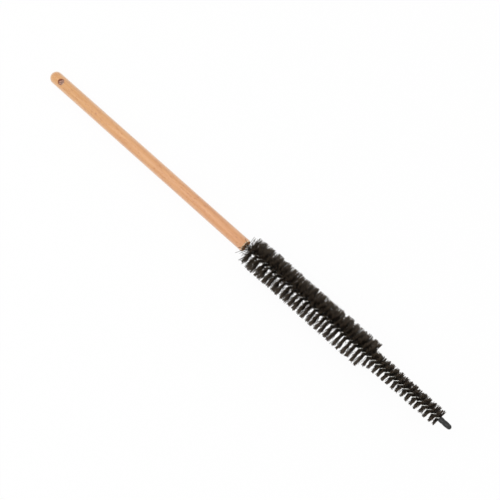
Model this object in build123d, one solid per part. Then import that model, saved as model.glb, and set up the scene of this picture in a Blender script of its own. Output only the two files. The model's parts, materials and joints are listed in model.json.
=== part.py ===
from build123d import *

import os
from math import asin, atan2, ceil, cos, degrees, hypot, pi, radians, sin, tan

# A bore brush: two wires twisted together grip rows of nylon filaments, wide and then
# narrow, and are glued into a round wooden handle. Sizes are in millimetres.
#
# The brush is built with its stem along +X and the handle's brush end face at x = 0, so
# the handle runs towards -X. Last, the whole brush is leaned to lie on a bench.

# Handle: a plain dowel with its free end rounded over
handle_length = 209.4
handle_diameter = 10.0
handle_end_round = 4.8
handle_least_end_flat = 0.2
handle_rim_chamfer = 0.5

# Hole across the free end, to hang the brush by. Its roll is about the stem, from +Z
hang_hole_diameter = 5.0
hang_hole_from_end = 12.2
hang_hole_roll = 17.3

# Stem: two wires twisted left-handed, with the filaments pinched in the gap between them.
# The twist's start is the angle of the first row of tufts at the handle's face, from +Y
wire_diameter = 1.15
wire_gap = 0.5
wire_sides = 6
twist_lead = 8.5
twist_start = -63.5
sections_per_turn = 8

# Seat of the stem in the handle: a drilled blind hole, filled with glue
stem_in_handle = 20.0
stem_end_gap = 0.5
glue_gap = 0.2
glue_recess = 0.4
drill_point_angle = 118.0

# Filaments: each strand stands for a tuft, and the two halves of one tuft leave the stem
# on opposite sides, so their tips trace a two-start helix
first_filament = 3.2
wide_length = 118.4
wide_diameter = 23.3
narrow_length = 63.7
narrow_diameter = 13.2
narrow_tip_diameter = 12.1
filaments_per_turn = 10
strand_sides = 3
strand_clearance = 0.04
strand_flare = 2.4
pinched_core_sides = 3
pinched_core_clearance = 0.09
pair_lean = 1.5

# The first tufts splay back towards the handle
entry_splay = 14.0
entry_splay_length = 4.0
splay_easing = 2.0

# The step was trimmed at a slant: the wide tufts run on to their full length on the side at
# this angle from +Y. On the other they end sooner, and the first narrow ones stand longer
step_slant = 2.9
step_slant_side = 17.1
step_extra_radius = 1.7
step_length = 12.0

# Tip: a closed vinyl cap pushed over the cut ends of the wires
cap_after_filaments = 0.3
cap_length = 10.4
cap_wall = 0.63
cap_end_wall = 1.0
cap_clearance = 0.02

# Bench: how deep the wide tufts that carry the brush are pressed flat
bench_flat_depth = 0.5

# Worked out from the sizes above
wire_radius = wire_diameter / 2
wire_offset = wire_radius + wire_gap / 2
stem_radius = wire_offset + wire_radius
bore_radius = stem_radius + glue_gap
bore_depth = stem_in_handle + stem_end_gap
drill_point_length = bore_radius / tan(radians(drill_point_angle / 2))
handle_radius = handle_diameter / 2
end_round = min(handle_end_round, handle_radius - handle_least_end_flat)
strand_radius = wire_gap / 2 - strand_clearance
pinched_core_radius = wire_gap / 2 - pinched_core_clearance
filament_pitch = twist_lead / filaments_per_turn
step_x = first_filament + wide_length
step_side = Vector(0, cos(radians(step_slant_side)), sin(radians(step_slant_side)))
filaments_end = step_x + narrow_length
cap_start = filaments_end + cap_after_filaments
cap_end = cap_start + cap_length
cap_bore_radius = stem_radius + cap_clearance
cap_radius = cap_bore_radius + cap_wall
stem_end = cap_end - cap_end_wall


def around_stem(x, angle):
    """Unit vector square to the stem that turns left-handed with x, from a start angle."""
    turned = radians(twist_start + angle) - 2 * pi * x / twist_lead
    return Vector(0, cos(turned), sin(turned))


def flat_sided(rings, warped=False):
    """Solid skinned over rings of points: flat quads from ring to ring, or pairs of triangles."""
    faces = [Face(Wire.make_polygon(ring)) for ring in (rings[0], rings[-1])]
    for near, far in zip(rings, rings[1:]):
        for side in range(len(near)):
            quad = [near[side - 1], near[side], far[side], far[side - 1]]
            patches = [quad[:3], [quad[0], *quad[2:]]] if warped else [quad]
            faces += [Face(Wire.make_polygon(patch)) for patch in patches]
    return Solid(Shell(faces))


def polygon_ring(centre, first_corner, way, radius, sides):
    """Corners of a regular polygon square to a direction, from the given first corner."""
    across = way.cross(first_corner).normalized()
    corners = []
    for side in range(sides):
        turn = 2 * pi * side / sides
        corners.append(centre + (first_corner * cos(turn) + across * sin(turn)) * radius)
    return corners


def stem_wire(angle):
    """One wire of the pair: flat-sided rings along its helix, snipped square to the stem."""
    length = stem_end + stem_in_handle
    steps = ceil(length / twist_lead * sections_per_turn)
    climb = 2 * pi * wire_offset / twist_lead
    rings = []
    for step in range(steps + 1):
        x = -stem_in_handle + length * step / steps
        out = around_stem(x, angle)
        way = (Vector(1, 0, 0) + around_stem(x, angle - 90) * climb).normalized()
        flat_inwards = out * cos(pi / wire_sides) + way.cross(out) * sin(pi / wire_sides)
        centre = Vector(x, 0, 0) + out * wire_offset
        ring = polygon_ring(centre, flat_inwards, way, wire_radius, wire_sides)
        if step in (0, steps):
            ring = [corner + way * ((x - corner.X) / way.X) for corner in ring]
        rings.append(ring)
    return flat_sided(rings, warped=True)


def bore_outline(mouth):
    """Half outline of the drilled hole, from its mouth to the drill point."""
    return [
        (mouth, bore_radius),
        (-bore_depth, bore_radius),
        (-bore_depth - drill_point_length, 0),
    ]


def turned(outline):
    """Solid turned about the stem's axis from a closed half outline."""
    return revolve(make_face(outline), axis=Axis.X, revolution_arc=360)


def handle_piece():
    """Dowel with a rounded free end, a drilled seat for the stem and a hang hole."""
    back = -handle_length
    knee = back + end_round
    rise = handle_radius - end_round
    end_arc = CenterArc((knee, rise), end_round, 90, 90)
    side = Polyline(
        (knee, handle_radius),
        (-handle_rim_chamfer, handle_radius),
        (0, handle_radius - handle_rim_chamfer),
        *bore_outline(0),
        (back, 0),
        (back, rise),
    )
    blank = turned(side + end_arc)
    across = Rot(hang_hole_roll, 0, 0) * Cylinder(hang_hole_diameter / 2, 2 * handle_diameter)
    return blank - Pos(back + hang_hole_from_end, 0, 0) * across


def glue_piece(wires):
    """Glue that fills the drilled hole around the two wires."""
    outline = Polyline(*bore_outline(-glue_recess), (-glue_recess, 0), close=True)
    return turned(outline) - wires


def cap_piece():
    """Closed cap with a domed end over the last turns of the wires."""
    dome_x = cap_end - cap_radius
    cavity_end = stem_end + cap_clearance
    dome = ThreePointArc(
        (dome_x, cap_radius),
        (dome_x + cap_radius * cos(pi / 4), cap_radius * sin(pi / 4)),
        (cap_end, 0),
    )
    wall = Polyline(
        (cap_end, 0),
        (cavity_end, 0),
        (cavity_end, cap_bore_radius),
        (cap_start, cap_bore_radius),
        (cap_start, cap_radius),
        (dome_x, cap_radius),
    )
    return turned(wall + dome)


def strand(x, angle, back_lean, length):
    """One tuft, slim where it is pinched and flaring outwards, leaning towards the handle."""
    lean = radians(back_lean)
    way = around_stem(x, angle) * cos(lean) - Vector(sin(lean), 0, 0)
    along_stem = around_stem(x, angle) * sin(lean) + Vector(cos(lean), 0, 0)
    foot = Vector(x, 0, 0)
    tip_radius = strand_radius + length * tan(radians(strand_flare))
    return flat_sided([
        polygon_ring(foot, along_stem, way, strand_radius, strand_sides),
        polygon_ring(foot + way * length, along_stem, way, tip_radius, strand_sides),
    ])


def splay(x):
    """How far a tuft at x leans back, easing from the handle to none."""
    left = 1 - (x - first_filament) / entry_splay_length
    return entry_splay * max(left, 0) ** splay_easing


def reach(x, angle):
    """Tuft length: wide up to the slanted trim, then narrow, and longer just after its far side."""
    far_side = (1 - around_stem(x, angle).dot(step_side)) / 2
    past_trim = x - (step_x - step_slant * far_side)
    if past_trim < 0:
        return wide_diameter / 2
    along = (x - step_x) / narrow_length
    narrow = narrow_diameter + (narrow_tip_diameter - narrow_diameter) * max(along, 0)
    return narrow / 2 + step_extra_radius * far_side * max(1 - past_trim / step_length, 0)


def bristle_piece(start, length):
    """Tufts along one stretch of the stem, joined by their own pinched middles."""
    count = round(length / filament_pitch)
    strands = []
    for index in range(count):
        x = start + (index + 0.5) * length / count
        strands.append(strand(x, 0, splay(x) - pair_lean, reach(x, 0)))
        strands.append(strand(x, 180, splay(x) + pair_lean, reach(x, 180)))
    foot = Plane(origin=(start, 0, 0), z_dir=(1, 0, 0))
    core = extrude(foot * RegularPolygon(pinched_core_radius, pinched_core_sides), amount=length)
    return core + strands, len(strands)


def bench_lean():
    """Angle at which the brush rests on its free end and on its first upright wide tufts."""
    run = first_filament + entry_splay_length + handle_length - end_round
    drop = (wide_diameter / 2 - bench_flat_depth) - (handle_radius - end_round)
    return degrees(atan2(drop, run) - asin(end_round / hypot(run, drop)))


wire_a = stem_wire(90)
wire_b = stem_wire(270)
wide, wide_strands = bristle_piece(first_filament, wide_length)
narrow, narrow_strands = bristle_piece(step_x, narrow_length)
pieces = {
    "handle": handle_piece(),
    "stem_adhesive": glue_piece([wire_a, wire_b]),
    "stem_wire_a": wire_a,
    "stem_wire_b": wire_b,
    "wide_bristles": wide,
    "narrow_bristles": narrow,
    "tip_cap": cap_piece(),
}

# Lay the brush on the bench: its tip rises, and the origin goes under the box's centre
lean = bench_lean()
leaned = Rot(0, -lean, 0)
ends = [(leaned * pieces[name]).bounding_box() for name in ("handle", "tip_cap")]
bench_x = (ends[0].min.X + ends[1].max.X) / 2
bench_z = ends[0].min.Z
place = Pos(-bench_x, 0, -bench_z) * leaned
pieces = {name: place * piece for name, piece in pieces.items()}
bench = Box(
    2 * (handle_length + cap_end),
    2 * wide_diameter,
    wide_diameter,
    align=(Align.CENTER, Align.CENTER, Align.MAX),
)
pieces["wide_bristles"] = pieces["wide_bristles"] - bench

os.makedirs("parts", exist_ok=True)
for name, piece in pieces.items():
    export_step(piece, f"parts/{name}.step")


def report_point(label, x):
    """Print where a point on the stem's axis lies once the brush is on the bench."""
    point = (place * Pos(x, 0, 0)).position
    print(label, round(point.X, 3), round(point.Y, 3), round(point.Z, 3))


side_length = handle_length - end_round - handle_rim_chamfer
print("strands", wide_strands + narrow_strands, "least gap between wires", wire_gap)
print("lean", round(lean, 4), "overall length", round(handle_length + cap_end, 2))
print("length of the handle's straight side", round(side_length, 2))
report_point("hang hole centre", -handle_length + hang_hole_from_end)
report_point("middle of the handle's straight side", -handle_rim_chamfer - side_length / 2)
report_point("handle's brush end face", 0)
report_point("end of the wide tufts", step_x)
report_point("tip", cap_end)
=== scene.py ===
import json

import bpy
import numpy as np
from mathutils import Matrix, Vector


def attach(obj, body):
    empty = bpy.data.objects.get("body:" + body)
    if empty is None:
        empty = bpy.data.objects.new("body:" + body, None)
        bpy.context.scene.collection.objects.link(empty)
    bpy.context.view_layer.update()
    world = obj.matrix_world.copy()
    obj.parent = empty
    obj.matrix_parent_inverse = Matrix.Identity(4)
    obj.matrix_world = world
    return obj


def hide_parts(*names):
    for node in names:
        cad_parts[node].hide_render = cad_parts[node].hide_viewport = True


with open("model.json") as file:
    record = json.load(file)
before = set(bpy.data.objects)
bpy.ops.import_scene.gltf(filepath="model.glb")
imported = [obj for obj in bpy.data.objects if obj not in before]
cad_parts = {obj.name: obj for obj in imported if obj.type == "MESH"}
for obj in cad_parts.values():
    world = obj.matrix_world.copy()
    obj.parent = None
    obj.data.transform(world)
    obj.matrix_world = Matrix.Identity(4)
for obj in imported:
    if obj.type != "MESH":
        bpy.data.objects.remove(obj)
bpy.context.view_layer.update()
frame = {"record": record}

# ---------------------------------------------------------------------------------------
# Handle
# A plain beech dowel, rounded over at its free end and chamfered at the brush end, then dipped
# in clear satin lacquer. A hang hole is drilled across it, and a blind hole in the brush end
# holds the stem. Sizes are in millimetres in the brush's own frame.
# ---------------------------------------------------------------------------------------
handle_length = 209.4
handle_radius = 5.0
end_round = 4.8
rim_chamfer = 0.5
edge_softness = 0.15
bore_radius = 1.6
bore_depth = 20.5
drill_point_depth = 0.96
drill_point_flat = 0.05
hang_hole_radius = 2.5
hang_hole_x = -197.2
hang_hole_lip = 0.4
columns_around = 96
window_columns = 24
window_half_length = 3.9
hole_rings = 6
lip_rings = 5

# The brush's own frame, from the record's mounts: x = 0 is the handle's brush end.
MM = 0.001
mounts = {mount["name"]: mount for mount in frame["record"]["mounts"]}
grip = mounts["handle_outside"]
hole_axis = mounts["hang_hole"]["axis"]
side_length = handle_length - end_round - rim_chamfer
stem_way = -np.array(grip["axis"])
stem_side = np.array([0.0, 1.0, 0.0])
stem_up = np.cross(stem_way, stem_side)
handle_face = np.array(grip["pos_m"]) + stem_way * (side_length / 2 + rim_chamfer) * MM
hang_hole_roll = np.arctan2(-hole_axis[1], hole_axis[2])


def on_brush(x, y, z):
    """Points in the part's frame, in metres, from the brush's own frame in millimetres: x along
    the stem from the handle's brush end, y to the brush's side and z square to both."""
    x, y, z = (v[..., None] * MM for v in np.broadcast_arrays(x, y, z))
    return (handle_face + x * stem_way + y * stem_side + z * stem_up).reshape(-1, 3)


def rounded_outline(corners, radii, steps):
    """Outline through corners, each but the ends rounded by an arc of its own radius. The arc
    touches both sides at radius / tan(half the corner), and is walked by equal angles."""
    corners = np.array(corners, float)
    points = [corners[:1]]
    for before, corner, after, radius in zip(corners, corners[1:], corners[2:], radii):
        back = (before - corner) / np.linalg.norm(before - corner)
        onward = (after - corner) / np.linalg.norm(after - corner)
        half = np.arccos(back @ onward) / 2
        centre = corner + (back + onward) / np.linalg.norm(back + onward) * radius / np.sin(half)
        start, end = (corner + way * radius / np.tan(half) - centre for way in (back, onward))
        turn = np.pi - 2 * half
        share = np.linspace(0, 1, steps + 1)[:, None]
        arc = (start * np.sin((1 - share) * turn) + end * np.sin(share * turn)) / np.sin(turn)
        points.append(centre + arc)
    return np.vstack(points + [corners[-1:]])


def quads_between(numbers, closed=True):
    """Quads between neighbours in a grid of vertex numbers, whose rows and columns are its last
    two axes. A closed grid also joins its last column to its first."""
    if closed:
        numbers = np.concatenate([numbers, numbers[..., :1]], axis=-1)
    row, next_row = numbers[..., :-1, :], numbers[..., 1:, :]
    corners = row[..., :-1], row[..., 1:], next_row[..., 1:], next_row[..., :-1]
    return np.stack(corners, axis=-1)


def piece_from(name, points, *blocks, crease=35):
    """Object of a point array and blocks of faces, each block an array with one row of vertex
    numbers a face. Edges that turn more than the crease angle stay sharp."""
    mesh = bpy.data.meshes.new(name)
    mesh.vertices.add(len(points))
    mesh.vertices.foreach_set("co", np.asarray(points, np.float32).ravel())
    sizes = np.concatenate([np.full(len(block), block.shape[1]) for block in blocks])
    corners = np.concatenate([block.ravel() for block in blocks])
    mesh.loops.add(len(corners))
    mesh.loops.foreach_set("vertex_index", corners.astype(np.int32))
    mesh.polygons.add(len(sizes))
    mesh.polygons.foreach_set("loop_start", (np.cumsum(sizes) - sizes).astype(np.int32))
    mesh.update(calc_edges=True)
    mesh.shade_smooth()
    mesh.set_sharp_from_angle(angle=np.radians(crease))
    piece = bpy.data.objects.new(name, mesh)
    bpy.context.scene.collection.objects.link(piece)
    return piece


# The dowel: its half outline turned about the stem's axis, as (x, radius * cos, radius * sin).
# Column 0 lies towards the hang hole's upper mouth. The outline goes from the free end over the
# shaft and the rim into the seat, and the shaft has extra rows where the hang hole crosses it.
outside = rounded_outline(
    [
        (-handle_length, 0),
        (-handle_length, handle_radius),
        (-rim_chamfer, handle_radius),
        (0, handle_radius - rim_chamfer),
        (0, bore_radius),
    ],
    [end_round, edge_softness, edge_softness],
    steps=12,
)[1:-1]
shaft = outside[outside[:, 0] < -rim_chamfer]
rim = outside[outside[:, 0] >= -rim_chamfer]
window_x = hang_hole_x + np.linspace(-1, 1, window_columns + 1) * window_half_length
shaft_x = np.union1d(shaft[:, 0], window_x)
shaft_radius = np.interp(shaft_x, shaft[:, 0], shaft[:, 1])
seat = rounded_outline(
    [
        (0, handle_radius - 2 * rim_chamfer),
        (0, bore_radius),
        (-bore_depth, bore_radius),
        (-bore_depth - drill_point_depth, drill_point_flat),
    ],
    [edge_softness, edge_softness],
    steps=4,
)
row_x = np.concatenate([shaft_x, rim[:, 0], seat[:, 0]])
row_radius = np.concatenate([shaft_radius, rim[:, 1], seat[:, 1]])
column_turn = 2 * np.pi / columns_around
column_angle = np.arange(columns_around) * column_turn + np.pi / 2 + hang_hole_roll
dowel = on_brush(
    row_x[:, None],
    row_radius[:, None] * np.cos(column_angle),
    row_radius[:, None] * np.sin(column_angle),
)
dowel_numbers = np.arange(len(dowel)).reshape(len(row_x), columns_around)

# The window that is left open for the hang hole, walked round its edge: steps are columns from
# the mouth's middle, and the far window mirrors the near one.
first_row = np.searchsorted(shaft_x, window_x[0])
last_row = first_row + window_columns
half_window = window_columns // 2
window_rows = np.concatenate(
    [
        np.full(window_columns, first_row),
        np.arange(first_row, last_row),
        np.full(window_columns, last_row),
        np.arange(last_row, first_row, -1),
    ]
)
window_steps = np.concatenate(
    [
        np.arange(-half_window, half_window),
        np.full(window_columns, half_window),
        np.arange(half_window, -half_window, -1),
        np.full(window_columns, -half_window),
    ]
)
near_window = dowel_numbers[window_rows, window_steps % columns_around]
far_window = dowel_numbers[window_rows, (columns_around // 2 - window_steps) % columns_around]
window_edge_x = row_x[window_rows] - hang_hole_x
window_edge_side = row_radius[window_rows] * np.sin(window_steps * column_turn)
around_hole = np.arctan2(window_edge_side, window_edge_x)

# The hang hole: rings from the window inwards to the lip's edge, round the lip by a quarter
# circle, down the wall, and out again on the far side. Each point lies apart * (cos, sin) from
# the hole's axis, at the height of the dowel's surface there, less what the lip has sunk.
inwards = np.linspace(0, 1, hole_rings + 1)[1:, None]
lip_turn = np.linspace(0, np.pi / 2, lip_rings + 1)[1:, None]
wall_share = np.linspace(1, -1, hole_rings + 1)[1:-1, None]
lip_edge = hang_hole_radius + hang_hole_lip
to_lip = np.hypot(window_edge_x, window_edge_side) * (1 - inwards) + lip_edge * inwards
down_lip = lip_edge - hang_hole_lip * np.sin(lip_turn) + 0 * around_hole
apart = np.vstack([to_lip, down_lip])
sunk = np.vstack([0 * inwards, hang_hole_lip * (1 - np.cos(lip_turn))])
hole_x = hang_hole_x + apart * np.cos(around_hole)
hole_side = apart * np.sin(around_hole)
hole_height = np.sqrt(np.interp(hole_x, shaft_x, shaft_radius) ** 2 - hole_side**2) - sunk
hole_x = np.vstack([hole_x, np.repeat(hole_x[-1:], len(wall_share), 0), hole_x[::-1]])
hole_side = np.vstack([hole_side, np.repeat(hole_side[-1:], len(wall_share), 0), hole_side[::-1]])
hole_height = np.vstack([hole_height, hole_height[-1:] * wall_share, -hole_height[::-1]])
hole_points = on_brush(
    hole_x,
    -hole_side * np.cos(hang_hole_roll) - hole_height * np.sin(hang_hole_roll),
    -hole_side * np.sin(hang_hole_roll) + hole_height * np.cos(hang_hole_roll),
)
hole_numbers = len(dowel) + np.arange(len(hole_points)).reshape(hole_x.shape)
hole_numbers = np.vstack([near_window, hole_numbers, far_window])

# Faces: the dowel without its windows, the hole, and the two ends. The seat's rows, its end and
# the hole from half-way round the lip are cut wood. Points inside the windows are left out.
dowel_quads = quads_between(dowel_numbers)
hole_quads = quads_between(hole_numbers)
kept = np.ones(dowel_quads.shape[:2], bool)
window_span = np.arange(-half_window, half_window)
kept[first_row:last_row, window_span % columns_around] = False
kept[first_row:last_row, (columns_around // 2 + window_span) % columns_around] = False
cut_rows = np.zeros(dowel_quads.shape[:2], bool)
cut_rows[len(shaft_x) + len(rim) - 1 :] = True
uncut_rings = len(inwards) + len(lip_turn) // 2
cut_rings = np.zeros(hole_quads.shape[:2], bool)
cut_rings[uncut_rings:-uncut_rings] = True
is_cut = np.concatenate([cut_rows[kept], cut_rings.ravel(), [False, True]])
points = np.vstack([dowel, hole_points])
blocks = [
    dowel_quads[kept],
    hole_quads.reshape(-1, 4),
    dowel_numbers[:1, ::-1],
    dowel_numbers[-1:],
]
used = np.unique(np.concatenate([block.ravel() for block in blocks]))
renumbered = np.zeros(len(points), int)
renumbered[used] = np.arange(len(used))
handle = piece_from("handle_dowel", points[used], *(renumbered[block] for block in blocks))


def colour(hex_code):
    """Linear colour of an sRGB hex code."""
    srgb = np.array([int(hex_code[i : i + 2], 16) for i in (1, 3, 5)]) / 255
    linear = np.where(srgb <= 0.04045, srgb / 12.92, ((srgb + 0.055) / 1.055) ** 2.4)
    return (*linear, 1.0)


def add(tree, kind, inputs=(), stops=(), **settings):
    """Adds a node with its settings. Each input takes a value, another node's output, or a node,
    which stands for its first output. A colour ramp takes stops: a place and a hex code each."""
    node = tree.nodes.new(kind)
    for name, value in settings.items():
        setattr(node, name, value)
    for socket, value in dict(inputs).items():
        if isinstance(value, bpy.types.Node):
            value = value.outputs[0]
        if isinstance(value, bpy.types.NodeSocket):
            tree.links.new(value, node.inputs[socket])
        else:
            node.inputs[socket].default_value = value
    for number, (place, hex_code) in enumerate(stops):
        node.color_ramp.elements[number].position = place
        node.color_ramp.elements[number].color = colour(hex_code)
    return node


def new_material(name):
    """Material with an empty node tree, and the tree."""
    material = bpy.data.materials.new(name)
    material.use_nodes = True
    material.node_tree.nodes.clear()
    return material, material.node_tree


# Lacquered beech: sanded, then dipped, so it is smooth and even, with faint lengthwise streaks,
# a slow drift from golden to pinkish and a few short brown flecks. The chamfer was cut last, and
# its unlacquered wood is paler; it is painted paler still, as a painted highlight for the light
# its rim catches. A mark's size is its length and width in millimetres.
tone_size = (45.0, 4.0)
streak_size = (24.0, 0.7)
fleck_size = (2.4, 0.3)
bare_highlit_rim_start = -rim_chamfer - 0.25
bare_highlit_rim_end = -rim_chamfer + 0.05
streak_relief = 0.04 * MM
to_brush = {
    "Location": handle_face,
    "Rotation": (0, -np.arctan2(stem_way[2], stem_way[0]), 0),
    "Scale": (MM, MM, MM),
}
beech, tree = new_material("lacquered_beech")
place_m = add(tree, "ShaderNodeTexCoord").outputs["Object"]
brush_mm = add(tree, "ShaderNodeMapping", {"Vector": place_m, **to_brush}, vector_type="TEXTURE")
stem_x = add(tree, "ShaderNodeSeparateXYZ", {0: brush_mm}).outputs["X"]
marks = []
for (mark_length, mark_width), detail in ((tone_size, 2.0), (streak_size, 4.0), (fleck_size, 0.0)):
    stretch = (1 / mark_length, 1 / mark_width, 1 / mark_width)
    stretched = add(tree, "ShaderNodeMapping", {"Vector": brush_mm, "Scale": stretch})
    mark = add(tree, "ShaderNodeTexNoise", {"Vector": stretched, "Scale": 1.0, "Detail": detail})
    marks.append(mark)
tone, streak, fleck = marks
golden = add(tree, "ShaderNodeValToRGB", {"Fac": tone}, ((0.3, "#d99f5e"), (0.7, "#dea669")))
pinkish = add(tree, "ShaderNodeValToRGB", {"Fac": tone}, ((0.3, "#d99961"), (0.7, "#e2a774")))
streaks = add(tree, "ShaderNodeValToRGB", {"Fac": streak}, ((0.35, "#efe2d2"), (0.62, "#ffffff")))
flecks = add(tree, "ShaderNodeValToRGB", {"Fac": fleck}, ((0.68, "#ffffff"), (0.78, "#cdaa8c")))
drift = add(
    tree,
    "ShaderNodeMapRange",
    {"Value": stem_x, "From Min": -handle_length, "From Max": 0.0},
    interpolation_type="SMOOTHSTEP",
)
bare_highlit_rim = add(
    tree,
    "ShaderNodeMapRange",
    {"Value": stem_x, "From Min": bare_highlit_rim_start, "From Max": bare_highlit_rim_end},
    interpolation_type="SMOOTHSTEP",
)
wood = add(tree, "ShaderNodeMixRGB", {"Fac": drift, "Color1": golden, "Color2": pinkish})
for darker in (streaks, flecks):
    wood = add(
        tree,
        "ShaderNodeMixRGB",
        {"Fac": 1.0, "Color1": wood, "Color2": darker},
        blend_type="MULTIPLY",
    )
# The chamfer's unlacquered wood, painted paler, partly as a painted highlight where its rim
# catches light.
wood = add(tree, "ShaderNodeMixRGB", {"Fac": bare_highlit_rim, "Color1": wood, "Color2": colour("#f2d3aa")})
gloss = add(tree, "ShaderNodeMapRange", {"Value": tone, "To Min": 0.42, "To Max": 0.52})
relief = add(
    tree, "ShaderNodeBump", {"Height": streak, "Strength": 0.25, "Distance": streak_relief}
)
surface = add(
    tree,
    "ShaderNodeBsdfPrincipled",
    {
        "Base Color": wood,
        "Roughness": gloss,
        "Normal": relief,
        "IOR": 1.45,
        "Coat Weight": 0.8,
        "Coat Roughness": 0.3,
        "Sheen Weight": 1.0,
        "Sheen Roughness": 0.5,
        "Sheen Tint": colour("#fff8f0"),
    },
)
add(tree, "ShaderNodeOutputMaterial", {"Surface": surface})
handle.data.materials.append(beech)

# Cut beech: dull end grain, stained brown where it soaked up lacquer, on the brush end. In the
# hang hole the colour is painted shade and light: brown round its upper mouth as painted shade,
# turning pale down the hole, from 3 mm to 0.8 mm above the stem's axis, as painted light.
pore_length = 40.0
pore_width = 0.35
hole_colour_start = hang_hole_x + 2 * hang_hole_radius
hole_colour_full = hang_hole_x + 1.5 * hang_hole_radius
hole_shade_top = 3.0
hole_light_foot = 0.8
cut_beech, tree = new_material("cut_beech")
place_m = add(tree, "ShaderNodeTexCoord").outputs["Object"]
brush_mm = add(tree, "ShaderNodeMapping", {"Vector": place_m, **to_brush}, vector_type="TEXTURE")
stem_x, _, height = add(tree, "ShaderNodeSeparateXYZ", {0: brush_mm}).outputs
stretch = (1 / pore_length, 1 / pore_width, 1 / pore_width)
stretched = add(tree, "ShaderNodeMapping", {"Vector": brush_mm, "Scale": stretch})
pores = add(tree, "ShaderNodeTexNoise", {"Vector": stretched, "Scale": 1.0, "Detail": 2.0})
stained = add(tree, "ShaderNodeValToRGB", {"Fac": pores}, ((0.35, "#b0733c"), (0.65, "#dc9c58")))
in_hole = add(
    tree,
    "ShaderNodeMapRange",
    {"Value": stem_x, "From Min": hole_colour_start, "From Max": hole_colour_full},
    interpolation_type="SMOOTHSTEP",
)
depth = add(
    tree,
    "ShaderNodeMapRange",
    {"Value": height, "From Min": hole_shade_top, "From Max": hole_light_foot},
    interpolation_type="SMOOTHSTEP",
)
# Painted shade round the hang hole's upper mouth, and painted light further down inside it.
hole_shade_and_light = add(tree, "ShaderNodeValToRGB", {"Fac": depth}, ((0.0, "#ba8264"), (1.0, "#ffe9dc")))
wood = add(tree, "ShaderNodeMixRGB", {"Fac": in_hole, "Color1": stained, "Color2": hole_shade_and_light})
surface = add(tree, "ShaderNodeBsdfPrincipled", {"Base Color": wood, "Roughness": 0.7, "IOR": 1.4})
add(tree, "ShaderNodeOutputMaterial", {"Surface": surface})
handle.data.materials.append(cut_beech)
handle.data.polygons.foreach_set("material_index", is_cut.astype(np.int32))
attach(handle, "root")
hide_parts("handle")

# ---------------------------------------------------------------------------------------
# Stem wires
# Two steel wires twisted together left-handed, with the filaments pinched between them. They
# are glued into the handle, and snipped square inside the cap.
# ---------------------------------------------------------------------------------------
wire_radius = 0.575
wire_gap = 0.5
twist_lead = 8.5
twist_start = -63.5
stem_in_handle = 20.0
stem_end = 195.0
rings_per_turn = 20
wire_sides = 14
wire_offset = wire_radius + wire_gap / 2


def stem_turn(x):
    """Angle of the first row of tufts at x, from +Y, turning left-handed, in radians."""
    return np.radians(twist_start) - 2 * np.pi * x / twist_lead


def tube_points(centre, across, beside, radius, sides):
    """Rings of a tube: around each centre, radius * (across * cos + beside * sin) of equal turns.
    The arrays hold one row a ring, and the result has one row a ring and corner."""
    corner = np.arange(sides)[:, None] * 2 * np.pi / sides
    around = across[..., None, :] * np.cos(corner) + beside[..., None, :] * np.sin(corner)
    return centre[..., None, :] + radius * around


def twisted_wire(name, start_angle):
    """Wire on a helix: centre x, offset * (cos, sin) of the turned angle, with round rings square
    to the helix's own direction."""
    length = stem_in_handle + stem_end
    x = np.linspace(-stem_in_handle, stem_end, round(length / twist_lead * rings_per_turn))
    angle = start_angle + stem_turn(x)
    outward = np.stack([0 * x, np.cos(angle), np.sin(angle)], axis=-1)
    climb = -2 * np.pi * wire_offset / twist_lead
    onward = np.stack([0 * x + 1, -np.sin(angle) * climb, np.cos(angle) * climb], axis=-1)
    onward /= np.linalg.norm(onward, axis=-1, keepdims=True)
    centre = np.stack([x, np.cos(angle) * wire_offset, np.sin(angle) * wire_offset], axis=-1)
    rings = tube_points(centre, outward, np.cross(onward, outward), wire_radius, wire_sides)
    numbers = np.arange(len(x) * wire_sides).reshape(-1, wire_sides)
    return piece_from(
        name,
        on_brush(rings[..., 0], rings[..., 1], rings[..., 2]),
        quads_between(numbers).reshape(-1, 4),
        numbers[:1, ::-1],
        numbers[-1:],
    )


# Drawn low-carbon steel, bright from a thin zinc coat: pale metal with soft, uneven gloss.
patches_per_mm = 1.5
steel, tree = new_material("galvanised_wire")
place_m = add(tree, "ShaderNodeTexCoord").outputs["Object"]
patches = add(
    tree, "ShaderNodeTexNoise", {"Vector": place_m, "Scale": patches_per_mm / MM, "Detail": 3.0}
)
zinc = add(tree, "ShaderNodeValToRGB", {"Fac": patches}, ((0.3, "#cfcfca"), (0.7, "#f0f0ea")))
gloss = add(tree, "ShaderNodeMapRange", {"Value": patches, "To Min": 0.25, "To Max": 0.4})
surface = add(
    tree, "ShaderNodeBsdfPrincipled", {"Base Color": zinc, "Roughness": gloss, "Metallic": 1.0}
)
add(tree, "ShaderNodeOutputMaterial", {"Surface": surface})

for wire_name, node_name, start_angle in (
    ("twisted_wire_a", "stem_wire_a", np.pi / 2),
    ("twisted_wire_b", "stem_wire_b", -np.pi / 2),
):
    wire = twisted_wire(wire_name, start_angle)
    wire.data.materials.append(steel)
    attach(wire, "root")
    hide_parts(node_name)

# ---------------------------------------------------------------------------------------
# Glue
# Resin that was poured into the drilled hole before the stem went in. It cured to a dark
# amber, and its surface creeps up the bore's wall and the wires.
# ---------------------------------------------------------------------------------------
glue_recess = 0.4
glue_creep = 0.3
creep_width = 0.16
glue_middle = 0.02
glue_rings = 15
glue_columns = 48

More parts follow.
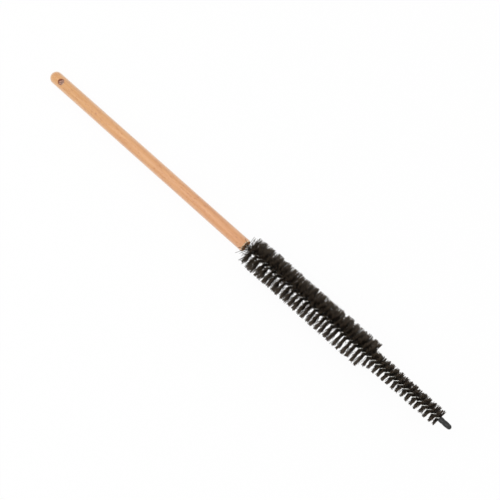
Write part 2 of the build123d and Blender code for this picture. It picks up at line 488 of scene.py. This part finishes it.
# Its face: rings of points, raised by glue_creep * exp(-distance / creep_width) from the wall
# and from the nearer wire, and by glue_creep at most. A tail of two more rings follows the
# drilled hole.
glue_angle = np.arange(glue_columns) * 2 * np.pi / glue_columns
face_radius = np.linspace(glue_middle, 1, glue_rings)[:, None] * bore_radius
face_y = face_radius * np.cos(glue_angle)
face_z = face_radius * np.sin(glue_angle)
wire_at_face = stem_turn(-glue_recess) + np.pi / 2
wire_y, wire_z = wire_offset * np.cos(wire_at_face), wire_offset * np.sin(wire_at_face)
from_wires = np.minimum(
    np.hypot(face_y - wire_y, face_z - wire_z),
    np.hypot(face_y + wire_y, face_z + wire_z),
)
from_wires = np.maximum(from_wires - wire_radius, 0)
from_wall = bore_radius - face_radius
creep = np.exp(-from_wall / creep_width) + np.exp(-from_wires / creep_width)
face_x = -glue_recess + glue_creep * np.minimum(creep, 1)
tail_x = np.array([[-bore_depth], [-bore_depth - drill_point_depth]])
tail_radius = np.array([[bore_radius], [drill_point_flat]])
tail_y = tail_radius * np.cos(glue_angle)
tail_z = tail_radius * np.sin(glue_angle)
glue_points = np.vstack([on_brush(face_x, face_y, face_z), on_brush(tail_x, tail_y, tail_z)])
glue_numbers = np.arange(len(glue_points)).reshape(-1, glue_columns)
glue = piece_from(
    "poured_glue",
    glue_points,
    quads_between(glue_numbers).reshape(-1, 4)[:, ::-1],
    glue_numbers[:1],
    glue_numbers[-1:, ::-1],
)

# Cured resin: clear brown and glossy, with a little dust in it.
dust_per_mm = 2.5
resin, tree = new_material("amber_resin")
place_m = add(tree, "ShaderNodeTexCoord").outputs["Object"]
dust = add(
    tree, "ShaderNodeTexNoise", {"Vector": place_m, "Scale": dust_per_mm / MM, "Detail": 2.0}
)
amber = add(tree, "ShaderNodeValToRGB", {"Fac": dust}, ((0.0, "#4a2f18"), (1.0, "#7a5530")))
surface = add(
    tree, "ShaderNodeBsdfPrincipled", {"Base Color": amber, "Roughness": 0.15, "IOR": 1.52}
)
add(tree, "ShaderNodeOutputMaterial", {"Surface": surface})
glue.data.materials.append(resin)
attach(glue, "root")
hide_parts("stem_adhesive")

# ---------------------------------------------------------------------------------------
# Bristles
# Black nylon filaments laid between the wires before these were twisted, so each one sticks
# out on both sides and the ends trace two helical rows. They were trimmed round after
# twisting, first wide and then narrow, and the first ones splay back over the handle's end.
# ---------------------------------------------------------------------------------------
# The trim, with reaches from the stem's axis.
first_filament = 3.2
wide_length = 118.4
wide_reach = 11.45
narrow_length = 63.7
narrow_reach = 6.6
narrow_tip_reach = 6.05
step_slant = 2.9
step_slant_side = np.radians(17.1)
step_extra_reach = 1.7
step_length = 12.0
step_x = first_filament + wide_length

# One filament. It is pinched straight in the wires' gap, in one of a few places across it, and
# springs along the stem between two shares of its reach.
filament_radius = 0.165
filament_sides = 4
filaments_per_mm = 28
pinch_spread = 0.08
pinch_places = 7
spring_start = 0.12
spring_end = 0.4
wide_stray = 0.33
narrow_stray = 0.3

# Scatter of the bunches that were laid together and of lone filaments, drawn from each
# section's own seed: places and reaches in millimetres, turns, leans and bends in degrees.
bunch_pitch = 0.42
bunch_mixing = 0.35
bunch_turn = 3.0
bunch_lean = 2.0
bunch_reach = 0.42
lone_turn = 5.0
lone_lean = 2.0
lone_bend = 3.0
lone_curl = 0.35
ragged_reach = 0.45
longest_stray_reach = 0.8
pair_lean = 1.2
wide_seed = 21
narrow_seed = 12

# Next to the handle the rows start thin and loose, lean back over the rim by up to entry_splay
# degrees times entry_fan, and are cut shorter.
loose_start = 0.9
loose_start_length = 32.0
loose_pair_lean = 2.0
entry_thin_length = 1.5
entry_looseness = 2.0
entry_splay = 27.0
entry_splay_length = 4.0
splay_easing = 2.0
entry_fan = 1.6
shoulder_length = 8.0
shoulder_cut = 0.6
rim_clearance = 0.25
rim_slope = 0.25
bench_clearance = 0.02

# A filament's rings, as shares of its reach, and its map: u lies in a column of one tone, and v
# runs from one tip to the other.
shares = np.array([-1, -spring_end, -spring_start, spring_start, spring_end, 1])
tone_columns = 32
tone_margin = 0.1
tip_v = 0.48
cut_end_v = 0.01


def trimmed_reach(x, angle):
    """Reach of a filament from its place and angle: wide up to a slanted line, then narrow with a
    slight taper, and longer just past the line on its far side."""
    far_side = (1 - np.cos(angle - step_slant_side)) / 2
    past_line = x - (step_x - step_slant * far_side)
    along = np.clip((x - step_x) / narrow_length, 0, 1)
    narrow = narrow_reach + (narrow_tip_reach - narrow_reach) * along
    narrow = narrow + step_extra_reach * far_side * np.clip(1 - past_line / step_length, 0, 1)
    return np.where(past_line < 0, wide_reach, narrow)


def filament_paths(random, start, length, thin_length, stray):
    """Centres of the filaments from tip to tip through the stem, and the angles they lie at. At a
    signed share f of the reach the point lies f * reach along the row's own direction, which turns
    with the stem, plus a bend of f squared; x moves back by tan(lean) * distance, plus a curl of
    the distance squared. Clear of the wires each one springs along the stem by a small distance of
    its own. Over the thin length the rows thicken evenly from none, as the root of the place."""
    count = round((length - thin_length / 2) * filaments_per_mm)
    laid = (np.arange(count) + random.random(count)) / filaments_per_mm
    thickening = np.sqrt(2 * thin_length * laid)
    root = start + np.where(laid < thin_length / 2, thickening, laid + thin_length / 2)
    bunch = np.floor(root / bunch_pitch + bunch_mixing * random.standard_normal(count)).astype(int)
    bunch -= bunch.min()
    per_bunch = (2, bunch.max() + 1)
    per_half = (2, count)

    entry = np.clip(1 - (root - first_filament) / entry_splay_length, 0, 1)
    loose = loose_start * np.exp(-(root - first_filament) / loose_start_length)
    looseness = 1 + loose + entry_looseness * entry
    turn = random.normal(0, bunch_turn, per_bunch)[:, bunch]
    turn = np.radians(turn + random.normal(0, lone_turn, per_half) * looseness)
    lean = random.normal(0, bunch_lean, per_bunch)[:, bunch]
    lean += random.normal(0, lone_lean, per_half) * looseness
    lean += entry_splay * entry**splay_easing * random.uniform(0, entry_fan, per_half)
    lean += pair_lean * (1 + loose_pair_lean * loose) * np.array([[1], [-1]])
    bend = np.radians(random.normal(0, lone_bend, per_half) * looseness)

    reach = trimmed_reach(root, stem_turn(root) + np.array([[np.pi], [0]]))
    curl = random.normal(0, lone_curl, per_half) * looseness / reach**2
    ragged = random.normal(0, ragged_reach, per_half)
    ragged += random.normal(0, bunch_reach, per_bunch)[:, bunch]
    reach += np.minimum(ragged, longest_stray_reach)
    shoulder = np.clip(1 - (root - first_filament) / shoulder_length, 0, 1)
    reach *= 1 - shoulder_cut * shoulder * random.random(per_half)
    spring = random.normal(0, stray, per_half)
    places = np.linspace(-pinch_spread, pinch_spread, pinch_places)
    sideways = places[random.integers(0, pinch_places, count)]

    half = (shares > 0).astype(int)
    sprung = np.clip((np.abs(shares) - spring_start) / (spring_end - spring_start), 0, 1)
    pinched = sideways[:, None] * (sprung == 0)
    distance = reach[half].T * shares
    angle = stem_turn(root)[:, None] + turn[half].T + bend[half].T * shares**2
    x = root[:, None] + spring[half].T * sprung
    x -= np.tan(np.radians(lean[half].T)) * np.abs(distance)
    x -= curl[half].T * distance**2
    over_rim = np.maximum(np.abs(distance) - handle_radius - rim_clearance, 0)
    x = np.maximum(x, rim_clearance - rim_slope * over_rim)
    y = distance * np.cos(angle) - pinched * np.sin(stem_turn(root))[:, None]
    z = distance * np.sin(angle) + pinched * np.cos(stem_turn(root))[:, None]
    return np.stack([x, y, z], axis=-1), angle


def tube_sides(numbers, closed):
    """Quads round many tubes at once, turned to face outwards and started from the same corner."""
    return np.roll(quads_between(numbers, closed)[..., ::-1], 1, axis=-1).reshape(-1, 4)


def filament_rows(name, start, length, thin_length, stray, seed):
    """Filaments as closed tubes round their paths, with flat cut ends. On the map the sides of
    each fill a strip in a random column of tone, and its ends bulge a little from the strip's."""
    random = np.random.default_rng(seed)
    centre, angle = filament_paths(random, start, length, thin_length, stray)
    along_stem = np.broadcast_to([1.0, 0.0, 0.0], centre.shape)
    beside = np.stack([0 * angle, -np.sin(angle), np.cos(angle)], axis=-1)
    rings = tube_points(centre, along_stem, beside, filament_radius, filament_sides)
    points = on_brush(rings[..., 0], rings[..., 1], rings[..., 2])
    points[:, 2] = np.maximum(points[:, 2], bench_clearance * MM)
    count = len(centre)
    numbers = np.arange(len(points)).reshape(count, len(shares), filament_sides)
    sides = tube_sides(numbers, closed=True)
    piece = piece_from(name, points, sides, numbers[:, 0], numbers[:, -1, ::-1], crease=180)

    column = random.integers(0, tone_columns, count)[:, None, None]
    corner = np.arange(filament_sides + 1)
    across = tone_margin + (1 - 2 * tone_margin) * corner / filament_sides
    u = (column + across) / tone_columns + 0 * shares[:, None]
    v = (0.5 + tip_v * shares)[:, None] + 0 * u
    spots = np.stack([u, v], axis=-1)
    spot_numbers = np.arange(u.size).reshape(u.shape)
    side_spots = spots.reshape(-1, 2)[tube_sides(spot_numbers, closed=False).ravel()]
    bulge = cut_end_v * np.sin(np.pi * corner[:-1] / (filament_sides - 1))
    bulge = np.stack([0 * bulge, bulge], axis=-1)
    first_ends = (spots[:, 0, :-1] + bulge).reshape(-1, 2)
    last_ends = (spots[:, -1, :-1][:, ::-1] - bulge).reshape(-1, 2)
    layer = piece.data.uv_layers.new(name="OFBake")
    face_spots = np.vstack([side_spots, first_ends, last_ends])
    layer.uv.foreach_set("vector", face_spots.astype(np.float32).ravel())
    return piece


# Black nylon 6: extruded and cut, so it is satin, with greyer tips, partly scuffing wear and
# partly a painted highlight for the light they catch. Each filament takes one of a few tones. On
# the map, the greyer tips start a set share of v from the middle.
scuff_highlight_v = 0.3
nylon, tree = new_material("black_nylon")
on_map = add(tree, "ShaderNodeUVMap", uv_map="OFBake")
u, v, _ = add(tree, "ShaderNodeSeparateXYZ", {0: on_map}).outputs
from_middle = add(tree, "ShaderNodeMath", {0: v, 1: 0.5}, operation="SUBTRACT")
from_middle = add(tree, "ShaderNodeMath", {0: from_middle}, operation="ABSOLUTE")
# Greyer tips: scuffing wear and a painted highlight for the light the tips catch.
scuffed_highlit_tips = add(
    tree,
    "ShaderNodeMapRange",
    {"Value": from_middle, "From Min": scuff_highlight_v, "From Max": tip_v},
    interpolation_type="SMOOTHSTEP",
)
column = add(tree, "ShaderNodeMath", {0: u, 1: float(tone_columns)}, operation="MULTIPLY")
column = add(tree, "ShaderNodeMath", {0: column}, operation="FLOOR")
tone = add(tree, "ShaderNodeTexWhiteNoise", {"W": column}, noise_dimensions="1D")
shade = add(
    tree,
    "ShaderNodeMixRGB",
    {"Fac": tone, "Color1": colour("#211a12"), "Color2": colour("#34291c")},
)
tipped = add(
    tree, "ShaderNodeMixRGB", {"Fac": scuffed_highlit_tips, "Color1": shade, "Color2": colour("#463a2c")}
)
surface = add(
    tree, "ShaderNodeBsdfPrincipled", {"Base Color": tipped, "Roughness": 0.5, "IOR": 1.4}
)
add(tree, "ShaderNodeOutputMaterial", {"Surface": surface})

for rows_name, node_name, start, length, thin_length, stray, seed in (
    (
        "wide_filaments",
        "wide_bristles",
        first_filament,
        wide_length,
        entry_thin_length,
        wide_stray,
        wide_seed,
    ),
    ("narrow_filaments", "narrow_bristles", step_x, narrow_length, 0, narrow_stray, narrow_seed),
):
    rows = filament_rows(rows_name, start, length, thin_length, stray, seed)
    rows.data.materials.append(nylon)
    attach(rows, "root")
    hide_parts(node_name)

# ---------------------------------------------------------------------------------------
# Tip cap
# Soft black vinyl, dip-moulded as a closed thimble and pushed over the snipped wires, whose
# twist shows through it as a faint helical ripple.
# ---------------------------------------------------------------------------------------
cap_length = 10.4
cap_radius = 2.05
cap_wall = 0.63
cap_end_wall = 1.0
cap_pole = 0.04
inner_end_round = 0.3
inner_lip_round = 0.12
outer_lip_round = 0.18
dome_stretch = 1.35
ripple_depth = 0.16
ripple_clearance = 0.02
ripple_rings = 58
cap_columns = 48

# Its outline, from the middle of its inner end out over the lip and along the wall to the tip,
# turned about the stem's axis. The dome is an arc drawn out towards the tip.
cap_end = stem_end + cap_end_wall
cap_start = cap_end - cap_length
cap_inside = cap_radius - cap_wall
cap_outline = rounded_outline(
    [
        (stem_end, cap_pole),
        (stem_end, cap_inside),
        (cap_start, cap_inside),
        (cap_start, cap_radius),
        (cap_end, cap_radius),
        (cap_end, cap_pole),
    ],
    [inner_end_round, inner_lip_round, outer_lip_round, cap_radius - 2 * cap_pole],
    steps=8,
)
dome = cap_outline[:, 0] > cap_end - cap_radius
dome[: len(dome) // 2] = False
cap_outline[dome, 0] = cap_end - (cap_end - cap_outline[dome, 0]) * dome_stretch
wall_start = np.argmax(np.isclose(cap_outline[:, 1], cap_radius))
wall_ends = cap_outline[[wall_start, wall_start + 1], 0]
wall_x = np.linspace(*wall_ends, ripple_rings + 2)[1:-1]
wall_rows = np.stack([wall_x, 0 * wall_x + cap_radius], axis=-1)
cap_outline = np.insert(cap_outline, wall_start + 1, wall_rows, axis=0)

# The ripple: outside, the radius drops by its depth * cos squared of the angle from the gap
# between the wires, and fades out over the dome.
cap_angle = np.arange(cap_columns) * 2 * np.pi / cap_columns
cap_x, cap_reach = cap_outline[:, :1], cap_outline[:, 1:]
is_outside = cap_reach > cap_inside + ripple_clearance
fade = np.clip((cap_end - cap_x) / cap_radius, 0, 1) * is_outside
cap_reach = cap_reach - ripple_depth * fade * np.cos(cap_angle - stem_turn(cap_x)) ** 2
cap_points = on_brush(cap_x, cap_reach * np.cos(cap_angle), cap_reach * np.sin(cap_angle))
cap_numbers = np.arange(len(cap_points)).reshape(-1, cap_columns)
cap = piece_from(
    "dipped_cap",
    cap_points,
    quads_between(cap_numbers).reshape(-1, 4),
    cap_numbers[:1, ::-1],
    cap_numbers[-1:],
    crease=60,
)

# Dipped PVC: charcoal, rubbery, with a soft sheen and a slightly uneven skin.
bumps_per_mm = 0.9
bump_height = 0.1 * MM
vinyl, tree = new_material("dipped_vinyl")
place_m = add(tree, "ShaderNodeTexCoord").outputs["Object"]
uneven = add(
    tree, "ShaderNodeTexNoise", {"Vector": place_m, "Scale": bumps_per_mm / MM, "Detail": 2.0}
)
charcoal = add(tree, "ShaderNodeValToRGB", {"Fac": uneven}, ((0.0, "#0f0f0f"), (1.0, "#191918")))
gloss = add(tree, "ShaderNodeMapRange", {"Value": uneven, "To Min": 0.28, "To Max": 0.45})
relief = add(tree, "ShaderNodeBump", {"Height": uneven, "Strength": 0.4, "Distance": bump_height})
surface = add(
    tree,
    "ShaderNodeBsdfPrincipled",
    {"Base Color": charcoal, "Roughness": gloss, "Normal": relief, "IOR": 1.53},
)
add(tree, "ShaderNodeOutputMaterial", {"Surface": surface})
cap.data.materials.append(vinyl)
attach(cap, "root")
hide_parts("tip_cap")

# ---------------------------------------------------------------------------------------
# Bench, light and camera
# A white sweep of card under a light tent: soft light from all round, a little more from
# above, and a long lens that looks down on the brush with its tip nearer. Lengths are in
# metres here, apart from the lens, its sensor and the place it aims at on the stem's axis.
# ---------------------------------------------------------------------------------------
bench_half = 2.0
card_glow = 0.95
tent_strength = 0.86
softbox_power = 2.5
softbox_size = 0.8
softbox_place = Vector((-0.35, -0.35, 0.9))
camera_azimuth = np.radians(44.69)
camera_elevation = np.radians(66.31)
camera_distance = 1.0
focal_length = 99.86
sensor_width = 36.0
aim_x = 4.2

bpy.ops.mesh.primitive_plane_add(size=2 * bench_half)
bench = bpy.context.object
bench.name = "bench"

# White card: seen by the camera or in a reflection it glows, as an overexposed sweep does, and
# for all other light it is plain matt paper.
card, tree = new_material("white_card")
rays = add(tree, "ShaderNodeLightPath").outputs
seen = add(
    tree,
    "ShaderNodeMath",
    {0: rays["Is Camera Ray"], 1: rays["Is Glossy Ray"]},
    operation="MAXIMUM",
)
seen = add(tree, "ShaderNodeMath", {0: seen, 1: rays["Is Transmission Ray"]}, operation="MAXIMUM")
glow_share = add(tree, "ShaderNodeMath", {0: seen, 1: card_glow}, operation="MULTIPLY")
paper = add(tree, "ShaderNodeBsdfDiffuse", {"Color": colour("#f4f4f4")})
glow = add(tree, "ShaderNodeEmission", {"Color": colour("#ffffff"), "Strength": 1.0})
surface = add(tree, "ShaderNodeMixShader", {0: glow_share, 1: paper, 2: glow})
add(tree, "ShaderNodeOutputMaterial", {"Surface": surface})
bench.data.materials.append(card)

world = bpy.data.worlds.new("light_tent")
bpy.context.scene.world = world
world.use_nodes = True
tree = world.node_tree
tree.nodes.clear()
rays = add(tree, "ShaderNodeLightPath").outputs
tent = add(tree, "ShaderNodeBackground", {"Color": colour("#ffffff"), "Strength": tent_strength})
backdrop = add(tree, "ShaderNodeBackground", {"Color": colour("#ffffff"), "Strength": 1.0})
surface = add(tree, "ShaderNodeMixShader", {0: rays["Is Camera Ray"], 1: tent, 2: backdrop})
add(tree, "ShaderNodeOutputWorld", {"Surface": surface})

softbox = bpy.data.objects.new("softbox", bpy.data.lights.new("softbox", "AREA"))
softbox.data.energy = softbox_power
softbox.data.size = softbox_size
softbox.location = softbox_place
softbox.rotation_euler = (-softbox_place).to_track_quat("-Z", "Y").to_euler()
bpy.context.scene.collection.objects.link(softbox)

aim = Vector(on_brush(aim_x, 0.0, 0.0)[0])
to_camera = Vector(
    (
        np.sin(camera_azimuth) * np.cos(camera_elevation),
        -np.cos(camera_azimuth) * np.cos(camera_elevation),
        np.sin(camera_elevation),
    )
)
camera = bpy.data.objects.new("camera", bpy.data.cameras.new("camera"))
camera.data.lens = focal_length
camera.data.sensor_width = sensor_width
camera.location = aim + to_camera * camera_distance
camera.rotation_euler = (-to_camera).to_track_quat("-Z", "Y").to_euler()
bpy.context.scene.collection.objects.link(camera)
bpy.context.scene.camera = camera
bpy.context.scene.view_settings.view_transform = "Standard"
